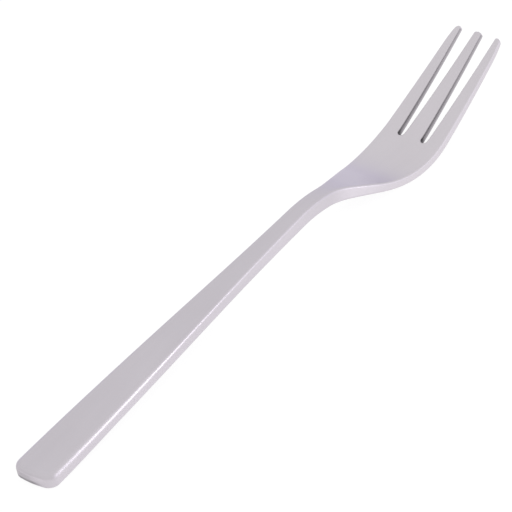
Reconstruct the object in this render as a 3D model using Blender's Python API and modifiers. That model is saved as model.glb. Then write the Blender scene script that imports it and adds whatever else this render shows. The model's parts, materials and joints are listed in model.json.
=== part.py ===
"""A one-piece dessert fork with three tines, lying on a table with its tines up.

The real fork is cut as one flat blank, gets its edges rounded, is thinned towards its tips and is pressed into its
side curve, and this script follows that order. Half of the blank is built with its thickness, mirrored and bevelled
while it is flat. Then it is cut into strips, thinned and bent, and set down on its belly and on the end of its
handle. Units are metres, +Z is up, and the tips point along +X.
"""

import math

import bmesh
import bpy
import numpy as np

# Lengths along the flat blank: the handle up to the neck, then the head from the neck to the slots, then the tines
HANDLE_LENGTH = 0.098
HEAD_LENGTH = 0.0314
TINE_LENGTH = 0.029

# Lengths over which the handle's end thins, its soft edges turn crisp, the head flares out, and the sheet thins
HEEL_LENGTH = 0.024
SOFT_LENGTH = 0.06
FLARE_LENGTH = 0.03
THINNING_LEAD = 0.0015
THINNING_LENGTH = 0.02

# Widths of the blank
HANDLE_WIDTH = 0.0102
NECK_WIDTH = 0.0039
HEAD_WIDTH = 0.0154
CENTRE_TINE_ROOT_WIDTH = 0.0047
CENTRE_TINE_TIP_WIDTH = 0.0018
OUTER_TINE_TIP_WIDTH = 0.0016
SLOT_ROOT_WIDTH = 0.0014
SLOT_TIP_WIDTH = 0.0037

# How much sooner than an even S the head flares out, and how late the shoulders curve in
FLARE_LEAD = 0.47
SHOULDER_POWER = 1.2

# Thickness of the blank
END_THICKNESS = 0.00335
HANDLE_THICKNESS = 0.0029
NECK_THICKNESS = 0.0033
HEAD_THICKNESS = 0.00195
TIP_THICKNESS = 0.0013

# Side curve of the top face: a bend that starts a little before the neck, a straight run and the belly's bend
BEND_LEAD = 0.0095
NECK_RADIUS = 0.036
NECK_DROP = math.radians(26.8)
NECK_RUN = 0.0066
BELLY_RADIUS = 0.0263
TINE_RISE = math.radians(17.3)
TINE_RADIUS = 0.34

# Rounded corners of the outline, and how far the handle's end and the tips bulge between them
END_CORNER = 0.00245
END_BULGE = 0.00018
CENTRE_TIP_CORNER = 0.00045
INNER_TIP_CORNER = 0.00036
OUTER_TIP_CORNER = 0.0006
OUTER_TIP_CORNER_LENGTH = 0.001
TIP_BULGE = 0.00015

# Curve that cuts the outer side of an outer tine back towards its tip
TIP_CUT = 0.00042
TIP_CUT_LENGTH = 0.005

# Rounded edges of the top, roundest at the end of the handle and finest at the tips, and the most of the underside
END_EDGE = 0.00095
GRIP_EDGE = 0.00055
TINE_EDGE = 0.00042
TIP_EDGE = 0.00028
UNDER_EDGE = 0.00045
EDGE_SEGMENTS = 3

# Steps of the outline, and the strips that the blank bends in
CORNER_STEPS = 6
END_STEPS = 3
HANDLE_STEPS = 16
HEEL_STRIPS = 5
SWELL_STRIPS = 7
BEND_STRIPS = 42
TINE_STRIPS = 11

# Satin stainless steel
STEEL_COLOUR = (0.60, 0.60, 0.62, 1.0)
STEEL_ROUGHNESS = 0.34

# Places along the blank, measured from the end of the handle, and sizes that follow from the ones above
NECK_AT = HANDLE_LENGTH
SHOULDER_AT = NECK_AT + FLARE_LENGTH
THIN_FROM = NECK_AT - THINNING_LEAD
THIN_AT = THIN_FROM + THINNING_LENGTH
SLOT_ROOT_AT = NECK_AT + HEAD_LENGTH
BLANK_LENGTH = SLOT_ROOT_AT + TINE_LENGTH
BEND_AT = NECK_AT - BEND_LEAD
TIP_LINE = BLANK_LENGTH - TIP_BULGE
TIPS_WIDTH = CENTRE_TINE_TIP_WIDTH + 2 * (SLOT_TIP_WIDTH + OUTER_TINE_TIP_WIDTH)
SHEET_THICKNESS = max(END_THICKNESS, HANDLE_THICKNESS, NECK_THICKNESS)

# How close two points are one, and how close to a cut a point lies on it
SAME_POINT = 1e-6
CUT_SNAP = 5e-5


def clear_scene():
    for thing in list(bpy.data.objects):
        bpy.data.objects.remove(thing)


def mix(first, second, share):
    return first + (second - first) * share


def ease(place, start, end):
    """0 up to start, 1 from end on, and a smooth S between."""
    share = min(max((place - start) / (end - start), 0.0), 1.0)
    return share * share * (3.0 - 2.0 * share)


def rounded(distance, length, depth):
    """How far an elliptical corner of this length and depth pulls an edge in, at a distance from its end."""
    share = 1.0 - min(max(distance / length, 0.0), 1.0)
    return depth * (1.0 - math.sqrt(1.0 - share * share))


def flare(place):
    """0 up to the neck and 1 from the shoulders on, opening early and closing slowly."""
    share = min(max((place - NECK_AT) / FLARE_LENGTH, 0.0), 1.0)
    return ease(share + FLARE_LEAD * share * (1.0 - share), 0.0, 1.0)


def half_width(place):
    """Half the blank's width: a tapering handle, a neck, a flare to the shoulders, then edges that close in."""
    width = mix(HANDLE_WIDTH, NECK_WIDTH, ease(place, 0.0, NECK_AT))
    width = mix(width, HEAD_WIDTH, flare(place))
    along = max(place - SHOULDER_AT, 0.0) / (BLANK_LENGTH - SHOULDER_AT)
    return (width - (HEAD_WIDTH - TIPS_WIDTH) * along**SHOULDER_POWER) / 2


def handle_edge(place):
    return half_width(place) - rounded(place, END_CORNER, END_CORNER)


def slot_edges(place):
    """The slot's two edges, from its round root to its wider mouth."""
    along = (place - SLOT_ROOT_AT) / TINE_LENGTH
    near = mix(CENTRE_TINE_ROOT_WIDTH, CENTRE_TINE_TIP_WIDTH, along) / 2
    gap = mix(SLOT_ROOT_WIDTH, SLOT_TIP_WIDTH, along)
    pinch = rounded(place - SLOT_ROOT_AT, SLOT_ROOT_WIDTH / 2, gap / 2)
    return near + pinch, near + gap - pinch


def slot_near_edge(place):
    return slot_edges(place)[0]


def slot_far_edge(place):
    return slot_edges(place)[1]


def centre_tip_edge(place):
    return slot_near_edge(place) - rounded(TIP_LINE - place, CENTRE_TIP_CORNER, CENTRE_TIP_CORNER)


def inner_tip_edge(place):
    return slot_far_edge(place) + rounded(TIP_LINE - place, INNER_TIP_CORNER, INNER_TIP_CORNER)


def outer_edge(place):
    """The fork's outer side, which curves in towards the tips."""
    along = 1.0 - min((TIP_LINE - place) / TIP_CUT_LENGTH, 1.0)
    return half_width(place) - TIP_CUT * along * along


def outer_tip_edge(place):
    return outer_edge(place) - rounded(TIP_LINE - place, OUTER_TIP_CORNER_LENGTH, OUTER_TIP_CORNER)


def bends():
    """The side curve's runs, each a length and a curvature."""
    return (
        (BEND_AT, 0.0),
        (NECK_RADIUS * NECK_DROP, -1.0 / NECK_RADIUS),
        (NECK_RUN, 0.0),
        (BELLY_RADIUS * (NECK_DROP + TINE_RISE), 1.0 / BELLY_RADIUS),
        (BLANK_LENGTH, 1.0 / TINE_RADIUS),
    )


def steps(start, end, count):
    return [mix(start, end, step / count) for step in range(1, count + 1)]


def strip_places():
    """Where one bending strip ends and the next begins, close together over the bends."""
    bend_end = sum(length for length, _ in bends()[:-1])
    places = [0.0] + steps(0.0, HEEL_LENGTH, HEEL_STRIPS)
    places += [SOFT_LENGTH] + steps(SOFT_LENGTH, BEND_AT, SWELL_STRIPS)
    places += steps(BEND_AT, bend_end, BEND_STRIPS)
    return places + steps(bend_end, BLANK_LENGTH, TINE_STRIPS)


def corner_places(end, start):
    """Places over a rounded corner, from its end back to its start, closest together where it turns square."""
    turns = [math.pi / 2 * step / CORNER_STEPS for step in range(CORNER_STEPS + 1)]
    return [mix(start, end, math.cos(turn)) for turn in turns]


def edge_points(edge, places):
    return [(place, edge(place)) for place in places]


def end_line(corner_x, corner_y, middle_x):
    """The gently bulging line from a corner in to the centre line."""
    shares = [1.0 - step / END_STEPS for step in range(1, END_STEPS)]
    return [(mix(middle_x, corner_x, share * share), corner_y * share) for share in shares]


def half_outline():
    """Half the blank's outline, from the middle of the handle's end to the centre tip and back around the edge."""
    root_end = SLOT_ROOT_AT + SLOT_ROOT_WIDTH / 2
    centre_tip = corner_places(TIP_LINE, TIP_LINE - CENTRE_TIP_CORNER)
    inner_tip = corner_places(TIP_LINE, TIP_LINE - INNER_TIP_CORNER)
    outer_tip = corner_places(TIP_LINE, TIP_LINE - OUTER_TIP_CORNER_LENGTH)
    root = corner_places(SLOT_ROOT_AT, root_end)
    side = [place for place in strip_places() if BEND_AT <= place < outer_tip[-1] - CUT_SNAP]
    slot = [place for place in side if place > root_end + CUT_SNAP]
    handle_corner = corner_places(0.0, END_CORNER)

    points = [(-END_BULGE, 0.0), (BLANK_LENGTH, 0.0)]
    points += edge_points(centre_tip_edge, centre_tip)
    points += edge_points(slot_near_edge, reversed(root + slot))
    points += edge_points(slot_far_edge, root[1:] + slot)
    points += edge_points(inner_tip_edge, reversed(inner_tip))
    points += edge_points(outer_tip_edge, outer_tip)
    points += edge_points(outer_edge, reversed(side))
    points += edge_points(half_width, steps(BEND_AT, END_CORNER, HANDLE_STEPS)[:-1])
    points += edge_points(handle_edge, reversed(handle_corner))
    return points + end_line(0.0, handle_edge(0.0), -END_BULGE)


def thickness(place):
    """An even grip, a little thicker at its end and at the neck, then thinning over the head and along the tines."""
    value = mix(END_THICKNESS, HANDLE_THICKNESS, ease(place, 0.0, HEEL_LENGTH))
    value = mix(value, NECK_THICKNESS, ease(place, SOFT_LENGTH, NECK_AT))
    value = mix(value, HEAD_THICKNESS, ease(place, THIN_FROM, THIN_AT))
    along = max(place - SHOULDER_AT, 0.0) / (BLANK_LENGTH - SHOULDER_AT)
    return mix(value, TIP_THICKNESS, along)


def edge_rounding(place):
    """Soft edges at the handle's end, crisper ones along the grip, and fine ones along the tines."""
    value = mix(END_EDGE, GRIP_EDGE, ease(place, 0.0, SOFT_LENGTH))
    value = mix(value, TINE_EDGE, ease(place, THIN_FROM, THIN_AT))
    return mix(value, TIP_EDGE, ease(place, SLOT_ROOT_AT, BLANK_LENGTH))


def under_rounding(place):
    return min(UNDER_EDGE, edge_rounding(place))


def side_line(place):
    """The bent top face's x, z and slope at a place along the blank."""
    x = z = angle = 0.0
    for length, curvature in bends():
        step = min(place, length)
        turned = angle + curvature * step
        if curvature:
            x += (math.sin(turned) - math.sin(angle)) / curvature
            z += (math.cos(angle) - math.cos(turned)) / curvature
        else:
            x += step * math.cos(angle)
            z += step * math.sin(angle)
        angle = turned
        place -= step
    return x, z, angle


def steel():
    material = bpy.data.materials.new("satin_stainless_steel")
    material.use_nodes = True
    shader = material.node_tree.nodes["Principled BSDF"]
    shader.inputs["Base Color"].default_value = STEEL_COLOUR
    shader.inputs["Metallic"].default_value = 1.0
    shader.inputs["Roughness"].default_value = STEEL_ROUGHNESS
    return material


def half_blank():
    """Half of the flat blank, open along its middle, each edge of its outlines holding its share of the rounding."""
    blank = bmesh.new()
    rounding = blank.edges.layers.float.new("bevel_weight_edge")
    outline = half_outline()
    top = [blank.verts.new((x, y, 0.0)) for x, y in outline]
    under = [blank.verts.new((x, y, -SHEET_THICKNESS)) for x, y in outline]
    blank.faces.new(top)
    blank.faces.new(reversed(under))
    for here in range(1, len(outline)):
        after = (here + 1) % len(outline)
        blank.faces.new((top[here], under[here], under[after], top[after]))
        place = (outline[here][0] + outline[after][0]) / 2
        blank.edges.get((top[here], top[after]))[rounding] = edge_rounding(place) / END_EDGE
        blank.edges.get((under[here], under[after]))[rounding] = under_rounding(place) / END_EDGE
    mesh = bpy.data.meshes.new("dessert_fork")
    blank.to_mesh(mesh)
    blank.free()
    return mesh


def flat_blank(collection):
    """The whole blank at its full thickness, with rounded edges."""
    mesh = half_blank()
    mesh.materials.append(steel())
    fork = bpy.data.objects.new("dessert_fork", mesh)
    collection.objects.link(fork)

    mirror = fork.modifiers.new("other half", "MIRROR")
    mirror.use_axis = (False, True, False)
    mirror.merge_threshold = SAME_POINT

    edges = fork.modifiers.new("rounded edges", "BEVEL")
    edges.limit_method = "WEIGHT"
    edges.width = END_EDGE
    edges.segments = EDGE_SEGMENTS
    edges.use_clamp_overlap = False
    return fork


def pressed(place, height, places):
    """A blank point's x and z after pressing: a strip stays flat, and its underside moves up where the fork is thin."""
    strip = min(max(int(np.searchsorted(places, place)), 1), len(places) - 1)
    ends = []
    for end in places[strip - 1 : strip + 1]:
        x, z, angle = side_line(end)
        lift = SHEET_THICKNESS - thickness(end) if height < -SHEET_THICKNESS / 2 else 0.0
        ends.append((x - (height + lift) * math.sin(angle), z + (height + lift) * math.cos(angle)))
    share = (place - places[strip - 1]) / (places[strip] - places[strip - 1])
    return [mix(first, second, share) for first, second in zip(*ends)]


def press(fork):
    """Cuts the flat blank into strips and bends it along the side curve."""
    shape = bmesh.new()
    shape.from_object(fork, bpy.context.evaluated_depsgraph_get())
    places = strip_places()
    for place in places[1:-1]:
        everything = shape.verts[:] + shape.edges[:] + shape.faces[:]
        bmesh.ops.bisect_plane(
            shape, geom=everything, dist=CUT_SNAP, plane_co=(place, 0.0, 0.0), plane_no=(1.0, 0.0, 0.0)
        )
    for vert in shape.verts:
        vert.co.x, vert.co.z = pressed(vert.co.x, vert.co.z, places)
    fork.modifiers.clear()
    shape.to_mesh(fork.data)
    shape.free()
    fork.data.shade_smooth()


def lay_on_table(fork):
    """Tips the fork until its handle's end and its belly both touch z = 0, with its middle over the origin."""
    points = np.array([vert.co for vert in fork.data.vertices])
    x, y, z = points.T
    tilt = 0.0
    for _ in range(6):
        along = x * math.cos(tilt) - z * math.sin(tilt)
        height = x * math.sin(tilt) + z * math.cos(tilt)
        heel = np.where(x < NECK_AT, height, np.inf).argmin()
        belly = np.where(x > NECK_AT, height, np.inf).argmin()
        tilt += math.atan2(height[heel] - height[belly], along[belly] - along[heel])
    along = x * math.cos(tilt) - z * math.sin(tilt)
    height = x * math.sin(tilt) + z * math.cos(tilt)
    fork.rotation_euler.y = -tilt
    fork.location = (-(along.min() + along.max()) / 2, 0.0, -height.min())


def main():
    clear_scene()
    collection = bpy.data.collections.new("dessert_fork")
    bpy.context.scene.collection.children.link(collection)
    fork = flat_blank(collection)
    press(fork)
    lay_on_table(fork)


main()
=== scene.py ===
# %% [markdown]
# # A three-tined dessert fork in satin stainless steel
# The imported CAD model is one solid: a dessert fork that lies on a table with its tines up. This lesson
# draws a finer fork in exactly that place, brushes its steel, and adds a floor, soft light and a camera.
# Run the cells from top to bottom, because each one uses names from the cells above it.

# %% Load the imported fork
import json
import math

import bmesh
import bpy
from mathutils import Matrix, Quaternion, Vector


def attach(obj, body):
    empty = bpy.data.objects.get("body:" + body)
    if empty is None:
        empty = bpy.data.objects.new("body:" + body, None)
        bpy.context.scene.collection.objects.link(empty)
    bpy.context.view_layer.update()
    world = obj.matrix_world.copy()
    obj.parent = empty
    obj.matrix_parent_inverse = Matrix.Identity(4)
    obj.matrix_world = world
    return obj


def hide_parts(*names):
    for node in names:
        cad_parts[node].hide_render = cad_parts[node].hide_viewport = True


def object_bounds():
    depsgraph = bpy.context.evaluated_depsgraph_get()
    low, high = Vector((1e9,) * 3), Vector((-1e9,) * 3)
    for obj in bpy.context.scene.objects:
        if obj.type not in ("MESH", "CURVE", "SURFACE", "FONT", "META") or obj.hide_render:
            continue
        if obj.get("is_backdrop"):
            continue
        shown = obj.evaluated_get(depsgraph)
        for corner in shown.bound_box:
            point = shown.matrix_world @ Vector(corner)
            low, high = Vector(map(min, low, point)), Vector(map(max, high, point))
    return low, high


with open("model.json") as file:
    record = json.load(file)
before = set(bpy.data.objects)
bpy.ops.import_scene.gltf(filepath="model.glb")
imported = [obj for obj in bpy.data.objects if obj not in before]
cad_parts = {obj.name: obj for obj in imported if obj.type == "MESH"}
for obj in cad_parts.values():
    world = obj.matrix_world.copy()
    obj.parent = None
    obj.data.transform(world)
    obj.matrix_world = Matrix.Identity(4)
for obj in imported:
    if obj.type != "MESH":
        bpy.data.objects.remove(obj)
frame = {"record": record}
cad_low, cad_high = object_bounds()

MM = 0.001
print("CAD box in mm:", [round(side / MM, 2) for side in cad_high - cad_low])

# %% [markdown]
# ## Where the fork lies
# The fork rests on its belly and on the end of its handle, so its handle slopes a little. The record holds
# a point and the outward normal of the flat top of the handle. They give the slope and the place, so
# nothing is placed by eye.
# We draw the fork flat, with its top face at z = 0 and the end of its handle at x = 0, and this matrix lays
# it down.

# %% Matrix that lays the fork on the table
GRIP_POINT_AT = 30.0 * MM  # from the end of the handle to the record's point

grip = next(mount for mount in frame["record"]["mounts"] if mount["name"] == "handle_top")
grip_normal = Vector(grip["axis"])
slope = math.atan2(-grip_normal.x, grip_normal.z)
laid_turn = Matrix.Rotation(-slope, 4, "Y")
laid_place = Vector(grip["pos_m"]) - laid_turn @ Vector((GRIP_POINT_AT, 0.0, 0.0))
laid_down = Matrix.Translation(laid_place) @ laid_turn
print("The handle slopes", round(math.degrees(slope), 3), "degrees")

# %% [markdown]
# ## The outline of the blank
# A real fork like this starts as a flat blank that is cut from steel sheet. Its outline is a wide handle
# that tapers to a slim neck, a head that flares to the shoulders, and three tines with a tapering slot
# between each two.
# A traced list of points would be quick, but it hides the design. Here each edge is a small formula of real
# sizes, so one size can change and the rest of the outline follows.

# %% Sizes of the blank
HANDLE_LENGTH = 98.0 * MM
HEAD_LENGTH = 31.4 * MM
TINE_LENGTH = 29.0 * MM
FLARE_LENGTH = 30.0 * MM

HANDLE_WIDTH = 10.2 * MM
NECK_WIDTH = 3.9 * MM
HEAD_WIDTH = 15.4 * MM
CENTRE_TINE_ROOT_WIDTH = 4.7 * MM
CENTRE_TINE_TIP_WIDTH = 1.8 * MM
OUTER_TINE_TIP_WIDTH = 1.6 * MM
SLOT_ROOT_WIDTH = 1.4 * MM
SLOT_TIP_WIDTH = 3.7 * MM
FLARE_LEAD = 0.47  # 0 would be an even S, and more opens the head earlier
SHOULDER_POWER = 1.2  # 1 would be a straight taper, and more keeps the shoulders fuller

SHOULDER_AT = HANDLE_LENGTH + FLARE_LENGTH
SLOT_ROOT_AT = HANDLE_LENGTH + HEAD_LENGTH
BLANK_LENGTH = SLOT_ROOT_AT + TINE_LENGTH
TIPS_WIDTH = CENTRE_TINE_TIP_WIDTH + 2 * (SLOT_TIP_WIDTH + OUTER_TINE_TIP_WIDTH)
print("The flat blank is", round(BLANK_LENGTH / MM, 1), "mm long")


# %% Width of the handle, neck and head
def mix(first, second, share):
    return first + (second - first) * share


def ease(place, start, end):
    """0 up to start, 1 from end on, and a smooth S between."""
    share = min(max((place - start) / (end - start), 0.0), 1.0)
    return share * share * (3.0 - 2.0 * share)


def flare(place):
    """0 up to the neck and 1 from the shoulders on, opening early and closing slowly."""
    share = min(max((place - HANDLE_LENGTH) / FLARE_LENGTH, 0.0), 1.0)
    return ease(share + FLARE_LEAD * share * (1.0 - share), 0.0, 1.0)


def past_shoulders(place):
    """0 up to the shoulders and 1 at the tips."""
    return max(place - SHOULDER_AT, 0.0) / (BLANK_LENGTH - SHOULDER_AT)


def half_width(place):
    """Half the blank's width at a place along it, measured from the end of the handle."""
    width = mix(HANDLE_WIDTH, NECK_WIDTH, ease(place, 0.0, HANDLE_LENGTH))
    width = mix(width, HEAD_WIDTH, flare(place))
    return (width - (HEAD_WIDTH - TIPS_WIDTH) * past_shoulders(place)**SHOULDER_POWER) / 2


for name, place in (("end", 0.0), ("neck", HANDLE_LENGTH), ("shoulders", SHOULDER_AT)):
    print("Width at the", name, round(2 * half_width(place) / MM, 2), "mm")

# %% [markdown]
# ## Slots, tips and the end of the handle
# The slots have round roots, so they are easy to clean and don't start cracks, and they widen towards their
# mouths. The tips are blunt: the middle one is square with soft corners, and each outer one is cut back in
# a long curve on its outer side. The handle ends almost straight, with generous corners.
# A bevel on the corner points could round them too, but it takes the same length from both sides of a
# corner. Each rounding here is a quarter of an ellipse that pulls an edge in, so one function serves all of
# them.

# %% Sizes of the roundings
END_CORNER = 2.45 * MM
END_BULGE = 0.18 * MM
CENTRE_TIP_CORNER = 0.45 * MM
INNER_TIP_CORNER = 0.36 * MM
OUTER_TIP_CORNER = 0.6 * MM
OUTER_TIP_CORNER_LENGTH = 1.0 * MM
TIP_CUT = 0.42 * MM
TIP_CUT_LENGTH = 5.0 * MM
TIP_BULGE = 0.15 * MM

TIP_LINE = BLANK_LENGTH - TIP_BULGE


def rounded(distance, length, depth):
    """How far an elliptical corner pulls an edge in, at a distance from its end."""
    share = 1.0 - min(max(distance / length, 0.0), 1.0)
    return depth * (1.0 - math.sqrt(1.0 - share * share))


OUTER_TIP_FLAT = OUTER_TINE_TIP_WIDTH - TIP_CUT - OUTER_TIP_CORNER - INNER_TIP_CORNER
print("An outer tip ends in a flat", round(OUTER_TIP_FLAT / MM, 2), "mm wide")


# %% Edges of the handle and the slots
def handle_edge(place):
    return half_width(place) - rounded(place, END_CORNER, END_CORNER)


def slot_edges(place):
    """The slot's two edges, from its round root to its wider mouth."""
    along = (place - SLOT_ROOT_AT) / TINE_LENGTH
    near = mix(CENTRE_TINE_ROOT_WIDTH, CENTRE_TINE_TIP_WIDTH, along) / 2
    gap = mix(SLOT_ROOT_WIDTH, SLOT_TIP_WIDTH, along)
    pinch = rounded(place - SLOT_ROOT_AT, SLOT_ROOT_WIDTH / 2, gap / 2)
    return near + pinch, near + gap - pinch


def slot_near_edge(place):
    return slot_edges(place)[0]


def slot_far_edge(place):
    return slot_edges(place)[1]


mouth = [round(edge / MM, 2) for edge in slot_edges(BLANK_LENGTH)]
print("A slot's mouth runs from", mouth[0], "to", mouth[1], "mm off the centre line")


# %% Edges of the tips and the outer sides
def centre_tip_edge(place):
    return slot_near_edge(place) - rounded(TIP_LINE - place, CENTRE_TIP_CORNER, CENTRE_TIP_CORNER)


def inner_tip_edge(place):
    return slot_far_edge(place) + rounded(TIP_LINE - place, INNER_TIP_CORNER, INNER_TIP_CORNER)


def outer_edge(place):
    """The outer side of the fork, with the tips cut back in a long curve."""
    along = 1.0 - min((TIP_LINE - place) / TIP_CUT_LENGTH, 1.0)
    return half_width(place) - TIP_CUT * along * along


def outer_tip_edge(place):
    return outer_edge(place) - rounded(TIP_LINE - place, OUTER_TIP_CORNER_LENGTH, OUTER_TIP_CORNER)


print("The three tips together are", round(2 * outer_edge(TIP_LINE) / MM, 2), "mm wide")

# %% [markdown]
# ## The side curve
# Seen from the side, the handle is straight. Just before the neck it dips, then the belly turns it up again
# and the tines rise almost straight to their tips. A press gives the real fork this curve in one stroke.
# A Curve modifier could bend the mesh, but it measures along a spline that we would have to fit. Arcs and
# straight runs are easier to read: each run has a length and a curvature, and adding them up gives any
# point of the curve.

# %% Runs of the side curve
BEND_LEAD = 9.5 * MM
NECK_RADIUS = 36.0 * MM
NECK_DROP = math.radians(26.8)
NECK_RUN = 6.6 * MM
BELLY_RADIUS = 26.3 * MM
TINE_RISE = math.radians(17.3)
TINE_RADIUS = 340.0 * MM

BEND_AT = HANDLE_LENGTH - BEND_LEAD
BEND_RUNS = (
    (BEND_AT, 0.0),
    (NECK_RADIUS * NECK_DROP, -1.0 / NECK_RADIUS),
    (NECK_RUN, 0.0),
    (BELLY_RADIUS * (NECK_DROP + TINE_RISE), 1.0 / BELLY_RADIUS),
    (BLANK_LENGTH, 1.0 / TINE_RADIUS),  # longer than needed, so that it reaches the tips
)
BEND_END = sum(length for length, _ in BEND_RUNS[:-1])
print("The belly ends", round(BEND_END / MM, 1), "mm from the end of the handle")


# %% Any point of the side curve
def side_line(place):
    """The bent top face's x, z and slope at a place along the blank."""
    x = z = angle = 0.0
    for length, curvature in BEND_RUNS:
        step = min(place, length)
        turned = angle + curvature * step
        if curvature:
            x += (math.sin(turned) - math.sin(angle)) / curvature
            z += (math.cos(angle) - math.cos(turned)) / curvature
        else:
            x += step * math.cos(angle)
            z += step * math.sin(angle)
        angle = turned
        place -= step
    return x, z, angle


tip_slope = math.degrees(side_line(BLANK_LENGTH)[2])
print("The tips rise", round(tip_slope, 1), "degrees against the handle")

# %% [markdown]
# ## Thickness and rounded edges
# The fork is thickest at the end of its handle, where it feels solid in the hand, and at the neck, where it
# would bend first. The head is rolled thinner towards the tips.
# After cutting, the edges are tumbled and buffed. The end of the handle is buffed longest, so its edges are
# roundest. They get crisper along the handle to the neck, and the tines keep small ones. The underside gets
# only a light pass, apart from the end of the handle.
# One thickness and one bevel width would be less work, but a highlight shows every change along an edge. So
# both are functions of the place that ease from one size to the next, and no step shows.

# %% Thickness along the fork
HEEL_LENGTH = 24.0 * MM
SOFT_LENGTH = 60.0 * MM
THINNING_LEAD = 1.5 * MM
THINNING_LENGTH = 20.0 * MM

END_THICKNESS = 3.35 * MM
HANDLE_THICKNESS = 2.9 * MM
NECK_THICKNESS = 3.3 * MM
HEAD_THICKNESS = 1.95 * MM
TIP_THICKNESS = 1.3 * MM

THIN_FROM = HANDLE_LENGTH - THINNING_LEAD
THIN_AT = THIN_FROM + THINNING_LENGTH
SHEET_THICKNESS = max(END_THICKNESS, HANDLE_THICKNESS, NECK_THICKNESS)


def thickness(place):
    value = mix(END_THICKNESS, HANDLE_THICKNESS, ease(place, 0.0, HEEL_LENGTH))
    value = mix(value, NECK_THICKNESS, ease(place, SOFT_LENGTH, HANDLE_LENGTH))
    value = mix(value, HEAD_THICKNESS, ease(place, THIN_FROM, THIN_AT))
    return mix(value, TIP_THICKNESS, past_shoulders(place))


STATIONS = (("end", 0.0), ("neck", HANDLE_LENGTH), ("tips", BLANK_LENGTH))
for name, place in STATIONS:
    print("Thickness at the", name, round(thickness(place) / MM, 2), "mm")

# %% Rounding of the edges along the fork
END_EDGE = 1.2 * MM
GRIP_EDGE = 0.55 * MM
TINE_EDGE = 0.42 * MM
TIP_EDGE = 0.28 * MM
UNDER_EDGE = 0.45 * MM
END_UNDER_EDGE = 0.95 * MM


def edge_rounding(place):
    """The rounding of the top edges."""
    value = mix(END_EDGE, GRIP_EDGE, ease(place, 0.0, SOFT_LENGTH))
    value = mix(value, TINE_EDGE, ease(place, THIN_FROM, THIN_AT))
    return mix(value, TIP_EDGE, ease(place, SLOT_ROOT_AT, BLANK_LENGTH))


def under_rounding(place):
    """The rounding of the edges underneath, nowhere more than on top."""
    value = mix(END_UNDER_EDGE, UNDER_EDGE, ease(place, 0.0, END_CORNER))
    return min(value, edge_rounding(place))


for name, place in STATIONS:
    over, below = edge_rounding(place), under_rounding(place)
    print("Rounding at the", name, round(over / MM, 2), "mm on top,", round(below / MM, 2), "mm below")

# %% [markdown]
# ## Points of the outline
# The outline needs points close together where it turns and few where it is straight. Over a corner we step
# by angle, which crowds the points where the ellipse turns square. Along the sides the points lie on the
# same places as the bending strips, so that the later cuts meet them.

# %% Steps and strips
CORNER_STEPS = 16
END_STEPS = 8
HANDLE_STEPS = 60
HEEL_STRIPS = 16
SWELL_STRIPS = 20
BEND_STRIPS = 84
TINE_STRIPS = 40


def steps(start, end, count):
    return [mix(start, end, step / count) for step in range(1, count + 1)]


def corner_places(end, start):
    """Places over a rounded corner, from its end back to its start."""
    turns = [math.pi / 2 * step / CORNER_STEPS for step in range(CORNER_STEPS + 1)]
    return [mix(start, end, math.cos(turn)) for turn in turns]


strip_places = [0.0] + steps(0.0, HEEL_LENGTH, HEEL_STRIPS)
strip_places += [SOFT_LENGTH] + steps(SOFT_LENGTH, BEND_AT, SWELL_STRIPS)
strip_places += steps(BEND_AT, BEND_END, BEND_STRIPS)
strip_places += steps(BEND_END, BLANK_LENGTH, TINE_STRIPS)
print(len(strip_places) - 1, "bending strips")


# %% Half of the outline
def edge_points(edge, places):
    return [(place, edge(place)) for place in places]


def end_line(corner_y, middle_x):
    """The gently bulging end of the handle, from its corner in to the centre line."""
    shares = [1.0 - step / END_STEPS for step in range(1, END_STEPS)]
    return [(mix(middle_x, 0.0, share * share), corner_y * share) for share in shares]


def half_outline():
    """From the middle of the handle's end to the centre tip, and back around the edge."""
    centre_tip = corner_places(TIP_LINE, TIP_LINE - CENTRE_TIP_CORNER)
    inner_tip = corner_places(TIP_LINE, TIP_LINE - INNER_TIP_CORNER)
    outer_tip = corner_places(TIP_LINE, TIP_LINE - OUTER_TIP_CORNER_LENGTH)
    root = corner_places(SLOT_ROOT_AT, SLOT_ROOT_AT + SLOT_ROOT_WIDTH / 2)
    side_end = TIP_LINE - OUTER_TIP_CORNER_LENGTH
    side = [place for place in strip_places if BEND_AT <= place < side_end]
    slot = [place for place in side if place > SLOT_ROOT_AT + SLOT_ROOT_WIDTH]
    handle_corner = corner_places(0.0, END_CORNER)

    points = [(-END_BULGE, 0.0), (BLANK_LENGTH, 0.0)]
    points += edge_points(centre_tip_edge, centre_tip)
    points += edge_points(slot_near_edge, reversed(root + slot))
    points += edge_points(slot_far_edge, root[1:] + slot)
    points += edge_points(inner_tip_edge, reversed(inner_tip))
    points += edge_points(outer_tip_edge, outer_tip)
    points += edge_points(outer_edge, reversed(side))
    points += edge_points(half_width, steps(BEND_AT, END_CORNER, HANDLE_STEPS)[:-1])
    points += edge_points(handle_edge, reversed(handle_corner))
    return points + end_line(handle_edge(0.0), -END_BULGE)


outline = half_outline()
print(len(outline), "points on half of the outline")

# %% [markdown]
# ## The flat blank
# The half outline is set twice, as a ring on top and a ring underneath, and walls between them make half of
# a solid sheet. A Solidify modifier could give the thickness too, but the edges underneath have to be
# crisper than those on top. With two rings, each edge carries a bevel weight of its own: its share of the
# largest rounding.
# Two modifiers then do what the workshop does: Mirror adds the other half and Bevel rounds the edges. It is
# easiest to do all this while the fork is still flat.

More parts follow.
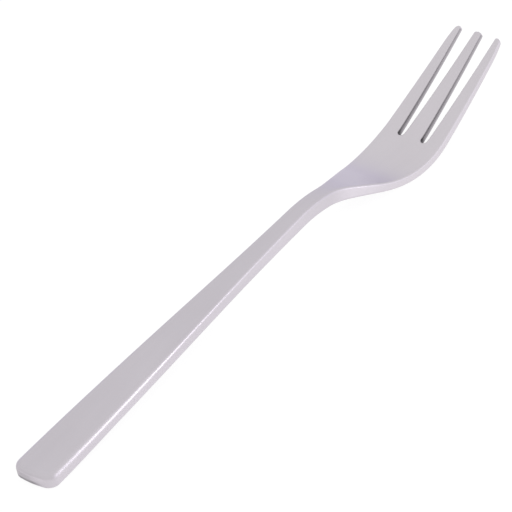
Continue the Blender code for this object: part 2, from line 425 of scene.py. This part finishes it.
# %% Half of the blank as a solid
blank = bmesh.new()
rounding = blank.edges.layers.float.new("bevel_weight_edge")
top = [blank.verts.new((x, y, 0.0)) for x, y in outline]
under = [blank.verts.new((x, y, -SHEET_THICKNESS)) for x, y in outline]
blank.faces.new(top)
blank.faces.new(reversed(under))
for here in range(1, len(outline)):  # point 0 starts the centre line, which gets no wall
    after = (here + 1) % len(outline)
    blank.faces.new((top[here], under[here], under[after], top[after]))
    middle = (outline[here][0] + outline[after][0]) / 2
    blank.edges.get((top[here], top[after]))[rounding] = edge_rounding(middle) / END_EDGE
    blank.edges.get((under[here], under[after]))[rounding] = under_rounding(middle) / END_EDGE

fork_mesh = bpy.data.meshes.new("dessert_fork_satin")
blank.to_mesh(fork_mesh)
blank.free()
fork = bpy.data.objects.new("dessert_fork_satin", fork_mesh)
bpy.context.scene.collection.objects.link(fork)
print("Half of the blank has", len(fork_mesh.polygons), "faces")

# %% The other half and the rounded edges
SAME_POINT = 0.001 * MM
EDGE_SEGMENTS = 6

mirror = fork.modifiers.new("other half", "MIRROR")
mirror.use_axis = (False, True, False)
mirror.merge_threshold = SAME_POINT
rounded_edges = fork.modifiers.new("rounded edges", "BEVEL")
rounded_edges.limit_method = "WEIGHT"
rounded_edges.width = END_EDGE
rounded_edges.segments = EDGE_SEGMENTS
rounded_edges.use_clamp_overlap = False
print("Flat blank with", len(fork.modifiers), "modifiers")

# %% [markdown]
# ## Painted shade in the slots and on the end
# The slots are cut by a press. On their walls a dark grey is painted into the steel's tint: painted shade
# for the shadowed floor and walls that they mirror, darkest at the roots. Some painted shade goes on the
# end of the handle too, on the left and most along its lower rim, for the contact shade that it mirrors. A
# second material on those faces would end in a hard line. A number on each vertex, from 0 where the steel
# keeps its own tint to 1, fades smoothly instead, and the steel's tint will follow it.

# %% Painted shade on the end of the handle
# How dark the painted shade on the end of the handle is, from 0 to 1
SHADE_ON_END_LEFT = 0.22
SHADE_ON_END_RIGHT = 0.06
SHADE_ON_RIM = 0.65
RIM_HEIGHT = 0.55 * MM

RIM_LOW = SHEET_THICKNESS - END_UNDER_EDGE
RIM_LINE = RIM_LOW - RIM_HEIGHT
END_GREY_TOP = END_EDGE / 4
END_GREY_FROM = -HANDLE_WIDTH / 3
END_GREY_AT = HANDLE_WIDTH / 6


def shade_on_end(point):
    """Painted shade: a little grey on the left of the handle's end, most of it along the lower rim."""
    across, depth = point.y, -point.z
    face = mix(SHADE_ON_END_RIGHT, SHADE_ON_END_LEFT, ease(across, END_GREY_FROM, END_GREY_AT))
    face *= ease(depth, END_GREY_TOP, END_EDGE)
    rim = ease(depth, RIM_LINE, RIM_LOW) - ease(depth, RIM_LOW, RIM_LOW + RIM_HEIGHT)
    rim *= ease(across, END_GREY_FROM, 0.0)
    return mix(face, SHADE_ON_RIM, rim) * (1.0 - max(point.x, 0.0) / END_EDGE)


left_rim = Vector((0.0, END_CORNER, -RIM_LOW))
print("The end's lower rim is cut grey by", round(shade_on_end(left_rim), 2))

# %% Painted shade in the slots
# How dark the painted shade on the slot walls is, from 0 to 1
SHADE_AT_ROOT = 1.0
SHADE_ON_TINE = 0.7
SHADE_AT_TIP = 0.46
SHADE_LOW_SHARE = 0.45
ROOT_LENGTH = 2.0 * MM
TOP_EDGE_FROM = 0.1  # shares of the rounded top edge over which the grey sets in
TOP_EDGE_TO = 0.6
UNDER_EDGE_SHARE = 0.87  # share of the rounded edge underneath that is buffed again


def on_slot_wall(place, across):
    edge = edge_rounding(place)
    near, far = slot_edges(max(place, SLOT_ROOT_AT))
    beside = near - edge - SAME_POINT < across < far + edge + SAME_POINT
    return beside and SLOT_ROOT_AT - edge - SAME_POINT <= place <= TIP_LINE - INNER_TIP_CORNER


def shade_in_slot(place, depth):
    """Painted shade on the walls of a slot: darkest at the root and just under the top edge."""
    if depth > SHEET_THICKNESS - UNDER_EDGE_SHARE * under_rounding(place):
        return 0.0
    past_root = max(place - SLOT_ROOT_AT, 0.0)
    off_root = ease(past_root, 0.0, ROOT_LENGTH)
    grey = mix(SHADE_AT_ROOT, mix(SHADE_ON_TINE, SHADE_AT_TIP, past_root / TINE_LENGTH), off_root)
    if depth > SHEET_THICKNESS / 2:
        grey *= mix(1.0, SHADE_LOW_SHARE, off_root)
    edge = edge_rounding(place)
    return grey * ease(depth, TOP_EDGE_FROM * edge, TOP_EDGE_TO * edge)


def painted_shade_share(point):
    """How much painted shade a point of the flat blank gets, from 0 to 1."""
    if point.x < END_EDGE:
        return shade_on_end(point)
    if on_slot_wall(point.x, abs(point.y)):
        return shade_in_slot(point.x, -point.z)
    return 0.0


root_wall = Vector((SLOT_ROOT_AT, slot_near_edge(SLOT_ROOT_AT), -edge_rounding(SLOT_ROOT_AT)))
print("A slot's root is cut grey by", round(painted_shade_share(root_wall), 2))

# %% [markdown]
# ## Pressing
# Bending needs edges to bend along, so the blank is first cut into strips across its length. One more cut,
# slanting, gives the rim of the handle's end a row of vertices to hold its painted shade, and leaves
# through the underside about 4 mm farther on. Then each vertex moves to its place on the side curve. A
# vertex of the lower half also moves up where the fork is thinner than the sheet it is cut from.
# Before it moves, each vertex stores where it was on the flat blank, how much painted shade it gets and
# which way the brushing runs. The steel will use all three, so its grain follows the bends.

# %% Cut the blank into strips
CUT_SNAP = 0.02 * MM
RIM_CUT_SLOPE = math.radians(20.0)

shape = bmesh.new()
shape.from_object(fork, bpy.context.evaluated_depsgraph_get())
cuts = [((place, 0.0, 0.0), (1.0, 0.0, 0.0)) for place in strip_places[1:-1]]
cuts.append(((0.0, 0.0, -RIM_LINE), (math.sin(RIM_CUT_SLOPE), 0.0, math.cos(RIM_CUT_SLOPE))))
for point, normal in cuts:
    everything = shape.verts[:] + shape.edges[:] + shape.faces[:]
    bmesh.ops.bisect_plane(shape, geom=everything, dist=CUT_SNAP, plane_co=point, plane_no=normal)
print(len(cuts), "cuts through the blank")

# %% Store what the steel needs, and bend
flat_place = shape.verts.layers.float_vector.new("flat_place")
painted_shade = shape.verts.layers.float.new("painted_shade")
grain_line = shape.verts.layers.float_vector.new("grain_line")
for vert in shape.verts:
    vert[flat_place] = vert.co
    # the share of painted shade that darkens this vertex
    vert[painted_shade] = painted_shade_share(vert.co)
    place, height = vert.co.x, vert.co.z
    if height < -SHEET_THICKNESS / 2:
        height += SHEET_THICKNESS - thickness(place)
    x, z, angle = side_line(place)
    vert[grain_line] = laid_turn @ Vector((math.cos(angle), 0.0, math.sin(angle)))
    vert.co.x = x - height * math.sin(angle)
    vert.co.z = z + height * math.cos(angle)

fork.modifiers.clear()
shape.to_mesh(fork_mesh)
shape.free()
fork_mesh.shade_smooth()
print(len(fork_mesh.vertices), "vertices after pressing")

# %% [markdown]
# ## Lay it down and let it stand for the solid
# The matrix from the record lays the fork on the table. The finer fork then replaces the CAD node in the
# picture, and the node is hidden. Weighted normals keep the wide faces flat in the light and let only the
# rounded edges turn it.

# %% Place the fork on its body
fork_mesh.transform(laid_down)
flat_light = fork.modifiers.new("even shading", "WEIGHTED_NORMAL")
flat_light.keep_sharp = True
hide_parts("dessert_fork")
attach(fork, "root")
fork_low, fork_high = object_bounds()
print("Fork box in mm:", [round(side / MM, 2) for side in fork_high - fork_low])

# %% [markdown]
# ## Satin stainless steel
# The fork is stainless steel, brushed along its length with a fine grit and then tumbled. To the eye that
# is a pale grey that reflects the room as a soft glow, with no mirror image. The head is given a tint a
# shade paler than the handle's. A metal has no colour under its shine: the base colour is the tint of its
# reflections.
# Even noise would look cast or blasted. Brushing draws lines, so the noise here is stretched along the flat
# blank. The grit's hair lines are about 0.05 to 0.1 mm wide, which is half a pixel here or less, so they
# are drawn about 0.3 mm wide, and faintly. Broader clouds show where the belt pressed a little harder.
# Lines also blur a reflection more across them than along them. Anisotropic does that, and it needs the
# direction of the brushing that each vertex has stored.


# %% Helpers for colours and nodes
def linear(hex_colour):
    """An sRGB hex value as linear red, green, blue and alpha, by the curve of the sRGB standard."""
    parts = [int(hex_colour[start : start + 2], 16) / 255 for start in (1, 3, 5)]
    return [part / 12.92 if part <= 0.04045 else ((part + 0.055) / 1.055) ** 2.4 for part in parts] + [1.0]


def add_node(tree, kind, settings=None, inputs=None):
    """Adds a node, sets its properties, and fills its inputs with values or with links from sockets."""
    node = tree.nodes.new(kind)
    for name, value in (settings or {}).items():
        setattr(node, name, value)
    for name, value in (inputs or {}).items():
        if isinstance(value, bpy.types.NodeSocket):
            tree.links.new(value, node.inputs[name])
        else:
            node.inputs[name].default_value = value
    return node


print("Half of full sRGB is", round(linear("#808080")[0], 3), "of the light")

# %% Lines and clouds of the brushing
GRAIN_WIDTH = 0.3 * MM
GRAIN_LENGTH = 16.0 * MM
GRAIN_DETAIL = 2.0
CLOUD_WIDTH = 7.0 * MM
CLOUD_LENGTH = 24.0 * MM
CLOUD_DETAIL = 3.0

steel = bpy.data.materials.new("satin_stainless_steel")
steel.use_nodes = True
fork_mesh.materials.append(steel)
steel_tree = steel.node_tree

flat = add_node(steel_tree, "ShaderNodeAttribute", {"attribute_name": "flat_place"})
grain_scale = (1.0 / GRAIN_LENGTH, 1.0 / GRAIN_WIDTH, 1.0 / GRAIN_WIDTH)
grain_place = add_node(
    steel_tree, "ShaderNodeMapping", None, {"Vector": flat.outputs["Vector"], "Scale": grain_scale}
)
grain = add_node(
    steel_tree,
    "ShaderNodeTexNoise",
    None,
    {"Vector": grain_place.outputs["Vector"], "Scale": 1.0, "Detail": GRAIN_DETAIL},
)
cloud_scale = (1.0 / CLOUD_LENGTH, 1.0 / CLOUD_WIDTH, 1.0 / CLOUD_WIDTH)
cloud_place = add_node(
    steel_tree, "ShaderNodeMapping", None, {"Vector": flat.outputs["Vector"], "Scale": cloud_scale}
)
clouds = add_node(
    steel_tree,
    "ShaderNodeTexNoise",
    None,
    {"Vector": cloud_place.outputs["Vector"], "Scale": 1.0, "Detail": CLOUD_DETAIL},
)
print("Lines", GRAIN_WIDTH / MM, "mm wide and clouds", CLOUD_WIDTH / MM, "mm wide")

# %% Tint of the handle and the head
GRIP_PALE = "#DAD4DB"
GRIP_DEEP = "#CCC6CD"
HEAD_PALE = "#E0DAE0"
HEAD_DEEP = "#D4CED4"
PALER_FROM = 105.0 * MM
PALER_AT = 122.0 * MM
GRAIN_SHARE = 0.35

streaks = add_node(
    steel_tree,
    "ShaderNodeMix",
    {"data_type": "FLOAT"},
    {"Factor": GRAIN_SHARE, "A": clouds.outputs["Fac"], "B": grain.outputs["Fac"]},
)
grip_tint = add_node(
    steel_tree,
    "ShaderNodeMix",
    {"data_type": "RGBA"},
    {"Factor": streaks.outputs["Result"], "A": linear(GRIP_DEEP), "B": linear(GRIP_PALE)},
)
head_tint = add_node(
    steel_tree,
    "ShaderNodeMix",
    {"data_type": "RGBA"},
    {"Factor": streaks.outputs["Result"], "A": linear(HEAD_DEEP), "B": linear(HEAD_PALE)},
)
places = add_node(steel_tree, "ShaderNodeSeparateXYZ", None, {0: flat.outputs["Vector"]})
head_share = add_node(
    steel_tree,
    "ShaderNodeMapRange",
    {"interpolation_type": "SMOOTHSTEP"},
    {"Value": places.outputs["X"], "From Min": PALER_FROM, "From Max": PALER_AT},
)
tint = add_node(
    steel_tree,
    "ShaderNodeMix",
    {"data_type": "RGBA"},
    {"Factor": head_share.outputs[0], "A": grip_tint.outputs[2], "B": head_tint.outputs[2]},
)
print("The steel turns paler from", PALER_FROM / MM, "to", PALER_AT / MM, "mm")

# %% Painted shade, roughness and relief
# The dark tint that the painted shade mixes into the steel
PAINTED_SHADE_TINT = "#18171B"
STEEL_ROUGHNESS = 0.38
ROUGHNESS_SWING = 0.05
GRAIN_DEPTH = 0.002 * MM
GRAIN_STRENGTH = 0.3

shaded = add_node(steel_tree, "ShaderNodeAttribute", {"attribute_name": "painted_shade"})
shade_mix = add_node(
    steel_tree,
    "ShaderNodeMix",
    {"data_type": "RGBA"},
    {"Factor": shaded.outputs["Fac"], "A": tint.outputs[2], "B": linear(PAINTED_SHADE_TINT)},
)
satin = add_node(
    steel_tree,
    "ShaderNodeMapRange",
    None,
    {
        "Value": grain.outputs["Fac"],
        "To Min": STEEL_ROUGHNESS - ROUGHNESS_SWING,
        "To Max": STEEL_ROUGHNESS + ROUGHNESS_SWING,
    },
)
relief = add_node(
    steel_tree,
    "ShaderNodeBump",
    None,
    {"Height": grain.outputs["Fac"], "Strength": GRAIN_STRENGTH, "Distance": GRAIN_DEPTH},
)
print("Roughness", STEEL_ROUGHNESS, "plus or minus", ROUGHNESS_SWING)

# %% The steel's shader
BRUSHED = 0.7
QUARTER_TURN = 0.25  # the blur is widest across the stored direction

along_grain = add_node(steel_tree, "ShaderNodeAttribute", {"attribute_name": "grain_line"})
shader = steel_tree.nodes["Principled BSDF"]
shader.inputs["Metallic"].default_value = 1.0
shader.inputs["Anisotropic"].default_value = BRUSHED
shader.inputs["Anisotropic Rotation"].default_value = QUARTER_TURN
steel_tree.links.new(shade_mix.outputs[2], shader.inputs["Base Color"])
steel_tree.links.new(satin.outputs["Result"], shader.inputs["Roughness"])
steel_tree.links.new(relief.outputs["Normal"], shader.inputs["Normal"])
steel_tree.links.new(along_grain.outputs["Vector"], shader.inputs["Tangent"])
print("Steel with", len(steel_tree.nodes), "nodes")

# %% [markdown]
# ## A plain white table
# The fork lies on a sheet of matt white paper. In a bright studio such a sheet glows almost evenly. Lamps
# strong enough for that would burn out the steel, so most of its white is given as a soft light of its own,
# seen by the camera and by reflections alike. The rest is lit by the room and the lamps, and that part
# keeps the fork's shadow.
# Seen from below the sheet is clear, so the underside of the fork can be looked at.

# %% The sheet
FLOOR_SIDE = 20.0  # in metres, so that its edges are out of sight
FLOOR_DROP = 0.01 * MM

half_side = FLOOR_SIDE / 2
corners = [(x * half_side, y * half_side, 0.0) for x, y in ((-1, -1), (1, -1), (1, 1), (-1, 1))]
floor_mesh = bpy.data.meshes.new("white_sheet")
floor_mesh.from_pydata(corners, [], [(0, 1, 2, 3)])
floor = bpy.data.objects.new("white_sheet", floor_mesh)
floor.location.z = cad_low.z - FLOOR_DROP
bpy.context.scene.collection.objects.link(floor)
floor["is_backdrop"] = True
print("White sheet at z =", round(floor.location.z / MM, 3), "mm")

# %% Its matt white
PAPER_GLOW = "#F0F0F0"
PAPER_LIT = "#7A7A7A"

paper = bpy.data.materials.new("matt_white_paper")
paper.use_nodes = True
floor_mesh.materials.append(paper)
paper_tree = paper.node_tree
paper_tree.nodes.clear()
path = add_node(paper_tree, "ShaderNodeLightPath")
seen = add_node(
    paper_tree,
    "ShaderNodeMath",
    {"operation": "ADD"},
    {0: path.outputs["Is Camera Ray"], 1: path.outputs["Is Glossy Ray"]},
)
shown = add_node(
    paper_tree,
    "ShaderNodeMath",
    {"operation": "ADD"},
    {0: seen.outputs[0], 1: path.outputs["Is Transmission Ray"]},
)
glow = add_node(
    paper_tree, "ShaderNodeEmission", None, {"Color": linear(PAPER_GLOW), "Strength": shown.outputs[0]}
)
matt = add_node(paper_tree, "ShaderNodeBsdfDiffuse", None, {"Color": linear(PAPER_LIT)})
white = add_node(paper_tree, "ShaderNodeAddShader", None, {0: glow.outputs[0], 1: matt.outputs[0]})
spot = add_node(paper_tree, "ShaderNodeNewGeometry")
clear = add_node(paper_tree, "ShaderNodeBsdfTransparent")
one_sided = add_node(
    paper_tree,
    "ShaderNodeMixShader",
    None,
    {0: spot.outputs["Backfacing"], 1: white.outputs[0], 2: clear.outputs[0]},
)
add_node(paper_tree, "ShaderNodeOutputMaterial", None, {"Surface": one_sided.outputs[0]})
print("Paper that glows", PAPER_GLOW, "and is lit", PAPER_LIT)

# %% [markdown]
# ## Soft studio light
# Metal shows what is around it, so the light is a room more than a lamp. The room is pale all round and
# brightest overhead. Its walls are a little darker, and the far one is cooler, which shows where the steep
# neck mirrors it. A picture of a studio could be wrapped around the scene instead, but a few named colours
# are easier to change.
# Two softboxes stand low on the right. The small one is mirrored in the rounded edge near the end of the
# handle and draws a bright line there. The large, weak one lifts the edges of the neck and the head. The
# flat top mirrors neither.

# %% The room
NEAR_WALL = "#E6E5E6"
FAR_WALL = "#D6D2EF"
OVERHEAD = "#EFF0EF"
WALL_TOP = 0.4  # height of a direction, from 0 at the horizon to 1 overhead
FAR_FROM = -0.3  # how far a direction points along the fork, from -1 to 1
FAR_TO = 0.5

world = bpy.data.worlds.new("pale_studio")
bpy.context.scene.world = world
world.use_nodes = True
room_tree = world.node_tree
direction = add_node(room_tree, "ShaderNodeTexCoord")
parts = add_node(room_tree, "ShaderNodeSeparateXYZ", None, {0: direction.outputs["Generated"]})
distance = add_node(
    room_tree,
    "ShaderNodeMapRange",
    {"interpolation_type": "SMOOTHSTEP"},
    {"Value": parts.outputs["X"], "From Min": FAR_FROM, "From Max": FAR_TO},
)
walls = add_node(
    room_tree,
    "ShaderNodeMix",
    {"data_type": "RGBA"},
    {"Factor": distance.outputs["Result"], "A": linear(NEAR_WALL), "B": linear(FAR_WALL)},
)
elevation = add_node(
    room_tree,
    "ShaderNodeMapRange",
    {"interpolation_type": "SMOOTHSTEP"},
    {"Value": parts.outputs["Z"], "From Max": WALL_TOP},
)
room = add_node(
    room_tree,
    "ShaderNodeMix",
    {"data_type": "RGBA"},
    {"Factor": elevation.outputs["Result"], "A": walls.outputs[2], "B": linear(OVERHEAD)},
)
room_tree.links.new(room.outputs[2], room_tree.nodes["Background"].inputs["Color"])
print("Room from", NEAR_WALL, "and", FAR_WALL, "to", OVERHEAD)

# %% The softboxes
KEY_PLACE = Vector((0.046, -0.147, 0.027))  # places and sizes of both lamps are in metres
KEY_LENGTH = 0.066
KEY_HEIGHT = 0.052
KEY_BRIGHTNESS = 3.1
FILL_PLACE = Vector((0.6, -0.9, 0.24))
FILL_LENGTH = 1.2
FILL_HEIGHT = 0.46
FILL_BRIGHTNESS = 0.42


def add_softbox(name, place, length, height, brightness):
    """A rectangle of light along the fork that faces it, with a brightness of 1 for white."""
    lamp = bpy.data.lights.new(name, "AREA")
    lamp.shape = "RECTANGLE"
    lamp.size = length
    lamp.size_y = height
    lamp.energy = math.pi * length * height * brightness
    softbox = bpy.data.objects.new(name, lamp)
    softbox.location = place
    softbox.rotation_euler.x = math.atan2(-place.y, place.z)
    softbox.visible_camera = False
    bpy.context.scene.collection.objects.link(softbox)
    print(name, "of", round(lamp.energy, 2), "W")


add_softbox("key_softbox", KEY_PLACE, KEY_LENGTH, KEY_HEIGHT, KEY_BRIGHTNESS)
add_softbox("fill_softbox", FILL_PLACE, FILL_LENGTH, FILL_HEIGHT, FILL_BRIGHTNESS)

# %% [markdown]
# ## The camera
# The picture looks down on the fork from the side of its handle, from far away with a long lens, so lines
# that are parallel on the fork stay nearly parallel in the picture. The camera is also tilted a little,
# which lets the fork run from corner to corner.
# A typed location and three turns would hide this. A point to look at, two angles, a distance and the tilt
# say it plainly.

# %% Camera
LOOK_AT = Vector((-2.697, 0.147, 7.0)) * MM
VIEW_AZIMUTH = math.radians(43.417)
VIEW_DOWN = math.radians(36.664)
VIEW_DISTANCE = 1035.03 * MM
CAMERA_TILT = math.radians(9.051)
LENS = 351.5625  # Blender takes this and the sensor in millimetres
SENSOR = 36.0

view_line = Vector(
    (
        math.cos(VIEW_DOWN) * math.cos(VIEW_AZIMUTH),
        math.cos(VIEW_DOWN) * math.sin(VIEW_AZIMUTH),
        -math.sin(VIEW_DOWN),
    )
)
tilt = Quaternion((0.0, 0.0, 1.0), -CAMERA_TILT)
camera_data = bpy.data.cameras.new("camera")
camera_data.lens = LENS
camera_data.sensor_width = SENSOR
camera = bpy.data.objects.new("camera", camera_data)
camera.location = LOOK_AT - view_line * VIEW_DISTANCE
camera.rotation_mode = "QUATERNION"
camera.rotation_quaternion = view_line.to_track_quat("-Z", "Y") @ tilt
bpy.context.scene.collection.objects.link(camera)
bpy.context.scene.camera = camera
print("Camera at", [round(part, 4) for part in camera.location])

# %% [markdown]
# ## Sizes
# The finer fork's box is set against the CAD solid's, and how much it grew is printed. The finer fork
# may not grow past the CAD solid. The Standard view transform shows colours as they are written.

# %% Set the view and print the sizes
bpy.context.scene.view_settings.view_transform = "Standard"
fork_low, fork_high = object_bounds()
growth = (fork_high - fork_low) - (cad_high - cad_low)
print("Box grew by, in mm:", [round(side / MM, 3) for side in growth])
